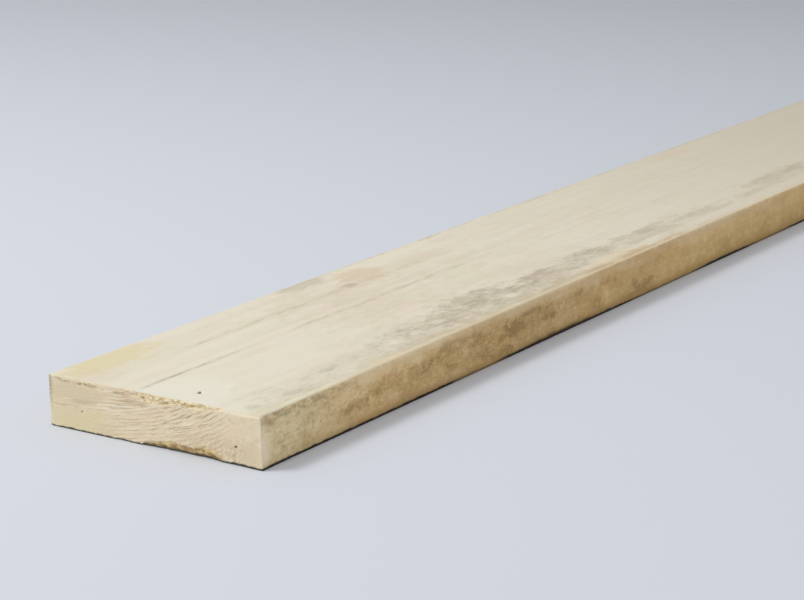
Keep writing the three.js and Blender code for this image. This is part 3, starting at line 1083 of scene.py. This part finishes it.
# %% Places in the mottle
DARK_PLACES = [
    (0.50, (3.5, 16.5), (3.5, 2.8)), (0.60, (58, 8.6), (7, 3)), (0.45, (68, 9.8), (4, 2)),
    (0.45, (97, 11), (11, 2.8)), (0.85, (115, 17.0), (4, 1.8)), (0.45, (117, 13.5), (8, 3)),
    (0.60, (121, 6.3), (5, 2.6)), (0.45, (127, 15.6), (4, 1.8)), (0.60, (142, 12.2), (9, 3.4)),
    (0.45, (145, 5.4), (8, 3)), (0.75, (152, 3.0), (13, 2.6)), (0.55, (165, 11), (10, 3.6)),
    (0.45, (178, 15), (7, 2)), (0.50, (194, 11.2), (7, 3)), (0.35, (192, 3.0), (14, 2.2)),
    (0.45, (215, 14.8), (7, 2.2)), (0.25, (185, 8), (22, 7)), (0.90, (270, 3.6), (15, 4.2)),
    (0.28, (279, 13.4), (12, 3)), (0.15, (440, 5), (30, 5)),
]
PALE_PLACES = [
    (0.22, (18, 4.4), (5, 2)), (0.25, (38, 6.9), (7, 2)), (0.25, (53, 13.4), (7, 2)),
    (0.22, (81, 5.4), (6, 2)), (0.20, (98, 5.3), (5, 2)), (0.22, (184, 5), (10, 3)),
    (0.22, (207, 6), (12, 3)), (0.20, (249, 6.5), (12, 3)), (0.30, (330, 16), (24, 3.5)),
    (0.45, (72, 16.5), (14, 2.8)), (0.25, (100, 16.6), (10, 2.4)),
]
DARK_PUSH, PALE_PUSH, PUSH_RAGGED = -0.36, 0.24, 1.5

speckle = noise(board, (4.5, 3.2, 3.2), 5.0, 0.66, 27.0)
mottle = shifted(speckle, cluster, 1.0)
for push, places in ((DARK_PUSH, DARK_PLACES), (PALE_PUSH, PALE_PLACES)):
    for strength, place, reach in places:
        patch = narrow.patch(place, reach, PUSH_RAGGED)
        mottle = maths("MULTIPLY_ADD", patch, push * strength, mottle)
mouldy_end = times(near_end, rise(shifted(height, cluster, 5.0), 11.5, 15.0),
                   rise(along, 42.0, 20.0))
mottle = maths("MULTIPLY_ADD", near_end, 0.05, mottle)
mottle = maths("MULTIPLY_ADD", mouldy_end, -0.16, mottle)
print(len(DARK_PLACES), "dark and", len(PALE_PLACES), "pale places")

# %% Mottle and grit
DARK_UMBER, PALE_TAN = (0.21, 0.125, 0.045), (0.92, 0.73, 0.42)

grit = noise(board, (1.7, 1.2, 1.2), 2.0, 0.6, 28.0)
calmer = between(rise(along, 215.0, 290.0), 1.0, 0.62)
coarse = between(rise(along, 190.0, 260.0), 1.0, 0.5)
narrow.dapple(mottle, [(UMBER, 0.62, 0.24, 0.42), (DARK_UMBER, 0.36, 0.12, 0.45),
                       (PALE_TAN, 0.50, 0.85, 0.45)], calmer)
narrow.dapple(grit, [(UMBER, 0.46, 0.30, 0.42), (PALE_TAN, 0.54, 0.72, 0.34)], coarse)
for tint, share, places in ((UMBER, 0.30, DARK_PLACES), (PALE_TAN, 0.50, PALE_PLACES)):
    for strength, place, reach in places:
        narrow.stain(tint, share * strength, place, reach, MARK_RAGGED)
narrow.stain(OCHRE, 0.30, (36, 4.4), (24, 3.8), MARK_RAGGED)
print("mottle laid")

# %% [markdown]
# ## Edges of the narrow faces
# Each edge of a narrow face has its own look. The upper one is rubbed down to pale wood and
# stained gold farther off, and the upright one at the near end is rubbed too. The lower one is
# darker towards the foot, partly damp wood and partly painted shade, and near black where the
# board meets the floor. They could be pushed into the mottle as the places were. They are coats
# on top of it instead, because wear, damp and shade lie over the mould and hide it.

# %% The upper edge
ARRIS_TAN, ARRIS_DULL, RUBBED_EDGE = (0.86, 0.68, 0.41), (0.74, 0.56, 0.33), (0.90, 0.70, 0.45)
TOP_TAN = (0.64, 0.445, 0.215)
GOLDEN_TOPS = [
    (0.60, (240, 20), (16, 4)),
    (0.80, (272, 20), (20, 5.5)),
    (0.40, (304, 20), (18, 3.5)),
]

sooty = noise(board, (4, 1.6, 1.6), 3.0, 0.6, 29.0)
past_end = rise(shifted(along, shift, 40.0), 35.0, 75.0)
upper = times(rise(shifted(height, cluster, 7.0), 14.0, 18.5), past_end, rise(along, 470.0, 330.0))
uneven_wear = rise(noise(board, (34, 12, 12), 3.0, 0.6, 39.0), 0.38, 0.58)
upper_tint = blend(rise(along, 110.0, 150.0), ARRIS_TAN, ARRIS_DULL)
narrow.lay(upper_tint, upper, between(uneven_wear, 0.50, 0.85))
rubbed_top = rise(shifted(shifted(height, cluster, 3.0), speckle, 4.5), 18.4, 20.2)
rubbed_share = times(between(past_end, 0.75, 0.85), between(rise(along, 110.0, 150.0), 1.0, 0.72))
narrow.lay(RUBBED_EDGE, rubbed_top, rubbed_share)
for strength, place, reach in GOLDEN_TOPS:
    narrow.stain(TOP_TAN, strength, place, reach, 1.0)
narrow.lay(SOOT, rise(height, 15.5, 17.6), rise(height, 19.7, 18.7), rise(along, 66.0, 40.0),
           rise(sooty, 0.44, 0.62), 0.40)
print("upper edge laid")

# %% The near end and the shaded foot
RUBBED_SIDE, DAMP_AND_CONTACT_SHADE = (0.90, 0.77, 0.56), (0.028, 0.018, 0.010)
CONTACT_SHADE_PLACES = [((203, 0), (54, 2.4)), ((352, 0), (32, 1.9))]
FAINT_FOOT_SHADE = [((140, 0), (22, 9)), ((298, 0), (40, 9)), ((402, 0), (26, 9))]

narrow.lay(RUBBED_SIDE, rise(shifted(along, cluster, 3.0), 6.5, 1.0),
           between(rise(height, 11.0, 16.0), 0.8, 0.35))
# Painted shade: the face darkens towards its foot.
low = shifted(height, shift, 1.2)
narrow.lay(UMBER, rise(low, 4.2, 1.2), between(rise(along, 22.0, 60.0), 0.32, 0.72))
# Painted contact shade at the foot, over some damp wood: thicker in two places, fainter in three,
# near black where the board meets the floor.
for place, reach in CONTACT_SHADE_PLACES:
    narrow.stain(DAMP_AND_CONTACT_SHADE, 0.85, place, reach, 0.3)
foot = rise(shifted(low, sooty, 1.0), 1.5, 0.75)
for place, reach in FAINT_FOOT_SHADE:
    foot = times(foot, between(narrow.patch(place, reach, 0.3), 1.0, 0.55))
narrow.lay(DAMP_AND_CONTACT_SHADE, foot)
print("foot laid")

# %% Surface of the narrow faces
hair = effect(fibre_effect, board=board)["Hair"]
grain = maths("MULTIPLY_ADD", hair, 0.3, noise(board, (2.0, 1.4, 1.4), 4.0, 0.65, 73.0))
narrow.surface(between(grain, 0.78, 0.90), 0.25, (grain, 0.18), (mottle, 0.12))

# %% [markdown]
# ## The cross-cut ends
# A saw cut across the fibres drinks in light and looks darker and pinker than the faces. The
# latewood of each ring is a thin broken line with a ridge beside it, whose light is a painted
# highlight. The lines could be curves laid on the end one by one. But noise on the coordinates
# that follow the rings breaks and frays them along their length by itself. A mask makes them
# strongest in the middle, where the rings fan out.

# %% End wood and its rings
END_TAN, END_PINK = (0.90, 0.76, 0.53), (0.89, 0.73, 0.515)
# The pale tint is pale fibre and painted highlight on raised fibres.
RING_BROWN, PALE_FIBRE_AND_HIGHLIGHT = (0.51, 0.39, 0.235), (0.99, 0.88, 0.67)

cut = Finish("cross_cut_end", "end", END_TAN)
board = cut.board
_, across, height = axes(board)
rings = effect(rings_effect, board=board, waver=0.9)
flow = rings["Flow"]
clear = noise(board, (30, 14, 9), 3.0, 0.5, 33.0)
cut.lay(END_PINK, rise(clear, 0.38, 0.62))
fan = times(rise(across, 15.0, 34.0), rise(shifted(across, clear, 20.0), 90.0, 74.0))
ring_strength = between(fan, 0.18, 1.0)
bold = times(rise(across, 48.0, 58.0), rise(across, 86.0, 78.0), rise(height, 5.0, 9.0))
gap = noise(flow, (30, 7.0, 1.3), 3.0, 0.6, 38.0)
lines = times(rings["Line"], rise(gap, 0.42, 0.62), ring_strength)
cut.lay(RING_BROWN, lines, between(bold, 0.45, 0.80))
print("rings of the end laid")

# %% Ridges with painted highlight, grooves with painted shade, and pores
steep = rise(across, 42.0, 54.0)
long_streak = noise(flow, (30, 14.0, 0.8), 3.0, 0.55, 35.0)
short_streak = noise(flow, (30, 8.0, 0.75), 3.0, 0.5, 36.0)
streak = maths("MULTIPLY_ADD", maths("SUBTRACT", short_streak, long_streak), steep, long_streak)
pores = noise(board, (4, 0.8, 0.8), 3.0, 0.7, 43.0)
# Painted highlight along the ridges and painted shade in the grooves beside them.
ridges = times(rise(streak, 0.51, 0.65), ring_strength)
grooves = times(rise(streak, 0.46, 0.32), ring_strength)
cut.lay(PALE_FIBRE_AND_HIGHLIGHT, ridges, 0.70)
cut.lay(RING_BROWN, grooves, between(bold, 0.50, 0.90))
cut.dapple(pores, [(RING_BROWN, 0.55, 0.72, 0.20), (PALE_FIBRE_AND_HIGHLIGHT, 0.42, 0.28, 0.22)])
print("ridges, grooves and pores laid")

# %% Stains and ring marks of the ends
END_YELLOW, END_DULL, END_BROWN = (0.82, 0.715, 0.455), (0.79, 0.665, 0.445), (0.78, 0.63, 0.42)
BRUISE, OLIVE_RING = (0.70, 0.48, 0.30), (0.62, 0.50, 0.32)
END_STAINS = [
    (END_YELLOW, 0.85, (13, 4.5), (19, 6)),
    (BRUISE, 0.15, (42, 17.6), (10, 2.6)),
    (END_DULL, 0.90, (12, 14.0), (19, 5.8)),
    (PALE_FIBRE_AND_HIGHLIGHT, 0.70, (31, 11.8), (8, 1.8)),
    (END_DULL, 0.75, (93, 4.0), (14, 7)),
    (END_BROWN, 0.60, (78, 4.8), (20, 4.4)),
]
# On the coordinates that follow the rings: across, and mm from the ring that the count starts at.
RING_MARKS = [
    (OLIVE_RING, 0.55, (16.5, 0.15), (7, 0.9)),
    (OLIVE_RING, 0.65, (29, -0.35), (9, 0.35)),
    (RING_BROWN, 0.60, (40, 0.35), (9, 0.35)),
    (RING_BROWN, 0.55, (34, 1.7), (7, 0.35)),
    (RING_BROWN, 0.35, (5, 2.5), (6, 0.4)),
    (PALE_FIBRE_AND_HIGHLIGHT, 0.60, (9, -0.2), (4, 0.25)),
    (PALE_FIBRE_AND_HIGHLIGHT, 0.60, (24, 1.9), (9, 0.22)),
    (RING_BROWN, 0.65, (39, -1.15), (6, 0.35)),
    (PALE_FIBRE_AND_HIGHLIGHT, 0.75, (38, 0.75), (6, 0.22)),
    (PALE_FIBRE_AND_HIGHLIGHT, 0.65, (30, -0.85), (7, 0.20)),
    (RING_BROWN, 0.50, (30, 1.1), (6, 0.25)),
    (PALE_FIBRE_AND_HIGHLIGHT, 0.60, (41, -1.65), (5, 0.20)),
]
RING_RAGGED = 0.4

for stain in END_STAINS:
    cut.stain(*stain)
for mark in RING_MARKS:
    cut.stain(*mark, RING_RAGGED, flow)
print(len(END_STAINS), "stains and", len(RING_MARKS), "ring marks laid")

# %% Broken rings at the front
weave = noise(flow, (30, 2.0, 1.1), 3.0, 0.6, 64.0)
woven = times(rise(across, 70.0, 76.0), rise(across, 94.0, 88.0), rise(height, 10.0, 6.0))
cut.dapple(weave, [(RING_BROWN, 0.48, 0.36, 0.55), (PALE_FIBRE_AND_HIGHLIGHT, 0.52, 0.64, 0.70)], woven)
freckle = noise(board, (30, 3.2, 2.2), 4.0, 0.6, 65.0)
freckled = times(rise(across, 76.0, 84.0), rise(height, 6.0, 10.0))
cut.dapple(freckle, [(RING_BROWN, 0.45, 0.30, 0.30), (PALE_FIBRE_AND_HIGHLIGHT, 0.54, 0.68, 0.45)], freckled)
print("broken rings laid")

# %% [markdown]
# ## Saw streaks and wear on the ends
# Here and there the saw left upright streaks. Along the top rim it chipped the wood in short
# dashes, and below the rim it tore the rings into brown and pale shreds. The front upper corner
# is worn to pale wood, brightened by a painted highlight where it faces up, and the back edge is
# grimy. One noise of streaks for the whole end would be simpler, but each mark has a direction
# and a place of its own, and so it has its own coat.

# %% Saw streaks and the chipped rim
RIM_BROWN, RIM_DARK, STREAK_BROWN = (0.60, 0.46, 0.26), (0.40, 0.29, 0.15), (0.60, 0.42, 0.23)
RIM_MARKS = [
    (RIM_BROWN, 0.80, (4.7, 19.1), (2.4, 0.6)),
    (RIM_BROWN, 0.80, (8.2, 18.6), (3.0, 0.5)),
    (RIM_DARK, 0.80, (15.8, 18.6), (2.2, 0.6)),
    (RIM_BROWN, 0.90, (20.6, 18.7), (3.8, 0.9)),
    (RIM_DARK, 0.70, (18.2, 18.6), (1.2, 0.5)),
    (RIM_BROWN, 0.70, (35.0, 17.9), (3.4, 0.5)),
]
RIM_RAGGED = 1.1

upright = noise(board, (30, 0.45, 26), 1.0, 0.5, 45.0)
fleck = noise(board, (4, 1.1, 0.8), 2.0, 0.5, 49.0)
dash = noise(board, (30, 1.9, 0.9), 3.0, 0.65, 51.0)
shred = noise(flow, (30, 9.0, 0.46), 3.0, 0.6, 62.0)
under_rim = times(rise(height, 17.2, 18.2), rise(across, 2.0, 8.0), rise(across, 36.0, 28.0))
shredded = times(rise(height, 12.5, 15.0), rise(across, 22.0, 34.0), rise(across, 50.0, 44.0))
cut.lay(PALE_FIBRE_AND_HIGHLIGHT, rise(upright, 0.66, 0.74), rise(clear, 0.42, 0.60), 0.45)
cut.lay(PALE_FIBRE_AND_HIGHLIGHT, rise(fleck, 0.62, 0.74), rise(across, 76.0, 84.0), 0.6)
cut.lay(RIM_BROWN, rise(dash, 0.47, 0.58), under_rim, 0.30)
for mark in RIM_MARKS:
    cut.stain(*mark, RIM_RAGGED)
cut.lay(PALE_FIBRE_AND_HIGHLIGHT, rise(dash, 0.47, 0.37), under_rim, 0.60)
cut.dapple(shred, [(STREAK_BROWN, 0.50, 0.58, 0.45), (PALE_FIBRE_AND_HIGHLIGHT, 0.46, 0.37, 0.70)], shredded)
print(len(RIM_MARKS), "rim marks laid")

# %% Worn and grimy edges of the ends
RUBBED_END, WORN_AND_LIT_PALE, BACK_STAIN = (0.96, 0.83, 0.61), (0.91, 0.80, 0.59), (0.34, 0.31, 0.23)
END_PIN_SHADOWS = (0.15, 0.75)
END_PIN_SPREAD = 1.4

arris = effect(arris_effect, board=board, band=0.8)
cut.lay(RUBBED_END, rise(shifted(across, clear, 2.0), 96.8, 99.2), 0.20)
worn_line = maths("MULTIPLY_ADD", across, -0.12, shifted(height, dash, 1.4))
# Worn pale wood with a painted highlight, where the upper corner's bevel faces the light.
cut.lay(WORN_AND_LIT_PALE, rise(worn_line, 7.1, 7.9), rise(across, 76.0, 87.0), 0.95)
cut.lay(RUBBED_END, arris["Rubbed"], rise(across, 97.0, 90.0), 0.35)
cut.lay(BACK_STAIN, rise(shifted(across, clear, 2.0), 2.6, 0.6), rise(height, 4.0, 17.0),
        between(rise(fleck, 0.35, 0.60), 0.4, 1.0), 0.85)
for (pin_across, pin_height, pin_radius, _), strength in zip(END_PINS, END_PIN_SHADOWS):
    cut.pin_hole(strength, (pin_across, pin_height), (END_PIN_SPREAD * pin_radius, pin_radius))
print("edges worn, and", len(END_PINS), "pin holes shaded")

# %% [markdown]
# ## Torn fibre and the dark foot of the ends
# The long hollow in the lower arris shows torn wood in gold and brown, redder in its middle and
# in shadow at the foot. It is the first thing that the eye finds on the end. A plain darker tint
# would look like a stain, so the hollow gets a grain of its own. The torn attribute gives its
# outline, and two ragged fringes widen it.

# %% Torn hollows
LENS_GOLD, LENS_BROWN, LENS_RED = (0.90, 0.68, 0.34), (0.52, 0.37, 0.17), (0.48, 0.28, 0.15)
LENS_SHADOW = (0.17, 0.125, 0.05)
LENS_FRINGES = [((60, 1.4), (13, 2.6)), ((75, 1.6), (8, 3.2))]

splinters = cut.splinters()
cut.lay(splinters["Colour"], splinters["Cover"], rise(height, 9.0, 10.0),
        rise(across, 40.5, 45.0), between(rise(across, 68.0, 78.0), 1.0, 0.3))
lens = times(splinters["Cover"], rise(height, 6.0, 5.0))
for place, reach in LENS_FRINGES:
    lens = maths("MAXIMUM", lens, cut.patch(place, reach, 0.4))
ragged = noise(board, (30, 3.5, 1.6), 3.0, 0.6, 55.0)
upright_shred = noise(board, (30, 0.9, 3.0), 2.0, 0.6, 67.0)
lens_grain = shifted(shifted(ragged, splinters["Crumb"], 0.4), upright_shred, 0.35)
lens_tint = blend(rise(lens_grain, 0.38, 0.58), LENS_BROWN, LENS_GOLD)
lens_tint = blend(times(cut.patch((66, 2.6), (5, 1.6)), 0.7), lens_tint, LENS_RED)
lens_foot = rise(shifted(height, ragged, 1.8), 2.1, 0.7)
cut.lay(blend(times(lens_foot, 0.8), lens_tint, LENS_SHADOW), lens)
low = maths("MULTIPLY_ADD", rise(across, 74.0, 92.0), -0.30, shifted(height, ragged, 2.0))
cut.lay(FOOT_SHADOW, rise(low, 0.95, 0.35), 0.95)
print("torn hollows laid")

# %% Surface of the ends
ring_height = maths("MULTIPLY_ADD", lines, -0.8, times(ridges, 0.8))
cut.surface(between(pores, 0.78, 0.93), 0.25, (ring_height, 0.10), (pores, 0.20))

# %% [markdown]
# ## Finishes on their faces
# The plank is one piece of wood, so its skin is one closed mesh. It could be cut into six sheets,
# one for each side, but a gap could open between them. Instead each small face takes the finish
# of the side of the box that its middle lies nearest to.

# %% Give each face of the plank its finish
END, BROAD, NARROW = 0, 1, 2
for finish in (cut, broad, narrow):
    plank.data.materials.append(finish.material)
centres = np.empty(len(plank.data.polygons) * 3)
plank.data.polygons.foreach_get("center", centres)
x, y, z = centres.reshape(-1, 3).T
to_end = np.minimum(x - plank_low.x, plank_high.x - x) / MILLIMETRE
to_side = np.minimum(y - plank_low.y, plank_high.y - y) / MILLIMETRE
to_face = np.minimum(z - plank_low.z, plank_high.z - z) / MILLIMETRE
choice = np.where(to_side < to_face, NARROW, BROAD)
choice = np.where(to_end < np.minimum(to_side, to_face), END, choice)
plank.data.polygons.foreach_set("material_index", choice.astype(np.int32))
print("faces by finish:", np.bincount(choice))

# %% [markdown]
# ## Floor and light
# The plank lies on a plain pale floor. Its colour darkens towards the back: painted shade where
# the light falls off. A sun would throw a hard shadow. So a softbox hangs behind the near end, up
# and to the left, and throws a short soft one in front of the board. A pale sky fills the shadows.
# Together they light an upward face at about one, so a colour renders about as it is written.

# %% Lay the floor
FLOOR_LIT, FLOOR_SHADED = (0.670, 0.700, 0.765), (0.440, 0.456, 0.490)
FLOOR_TURN = 45
FLOOR_SHADE_RAMP = (-0.95, 0.74)
FLOOR_SIZE = 60.0

bpy.ops.mesh.primitive_plane_add(size=FLOOR_SIZE)
floor = bpy.context.object
floor.name = "floor"
paper = bpy.data.materials.new("floor_paper")
paper.use_nodes = True
paper.node_tree.nodes.clear()
shader = add_node(paper.node_tree, "ShaderNodeBsdfPrincipled")
add_node(paper.node_tree, "ShaderNodeOutputMaterial", {"Surface": shader.outputs[0]})
spot_x, spot_y, _ = axes(add_node(paper.node_tree, "ShaderNodeTexCoord").outputs["Object"])
# Painted shade: the floor's colour darkens towards the back, as the light falls off.
heading = math.radians(CAMERA_HEADING + FLOOR_TURN)
ahead = maths("MULTIPLY_ADD", spot_x, math.sin(heading), times(spot_y, math.cos(heading)))
feed(shader.inputs["Base Color"], blend(rise(ahead, *FLOOR_SHADE_RAMP), FLOOR_LIT, FLOOR_SHADED))
shader.inputs["Roughness"].default_value = 0.9
shader.inputs["Specular IOR Level"].default_value = 0.1
floor.data.materials.append(paper)
print("floor laid")

# %% Hang the softbox
SOFTBOX_SIZE, SOFTBOX_POWER, SOFTBOX_TINT = 0.5, 13.9, (1.0, 0.985, 0.96)
SOFTBOX_PLACE, SOFTBOX_TARGET = (-550, -700, 1500), (350, WIDTH / 2, 0)

softbox_data = bpy.data.lights.new("softbox", "AREA")
softbox_data.size = SOFTBOX_SIZE
softbox_data.energy = SOFTBOX_POWER
softbox_data.color = SOFTBOX_TINT
softbox = bpy.data.objects.new("softbox", softbox_data)
bpy.context.scene.collection.objects.link(softbox)
softbox.location = placed(*SOFTBOX_PLACE)
to_target = Vector(placed(*SOFTBOX_TARGET)) - softbox.location
softbox.rotation_euler = to_target.to_track_quat("-Z", "Y").to_euler()
print("softbox at", [round(c, 3) for c in softbox.location])

# %% Set the sky
SKY, SKY_STRENGTH = (0.97, 0.985, 1.0), 0.65

world = bpy.data.worlds.new("sky")
world.use_nodes = True
bpy.context.scene.world = world
world.node_tree.nodes.clear()
sky = add_node(world.node_tree, "ShaderNodeBackground",
               {"Color": (*SKY, 1.0), "Strength": SKY_STRENGTH})
backdrop = add_node(world.node_tree, "ShaderNodeBackground",
                    {"Color": (*FLOOR_SHADED, 1.0), "Strength": 1.0})
is_seen = add_node(world.node_tree, "ShaderNodeLightPath").outputs["Is Camera Ray"]
both = add_node(world.node_tree, "ShaderNodeMixShader",
                {"Fac": is_seen, 1: sky.outputs[0], 2: backdrop.outputs[0]})
add_node(world.node_tree, "ShaderNodeOutputWorld", {"Surface": both.outputs[0]})
bpy.context.scene.view_settings.view_transform = "Standard"
print("sky set")
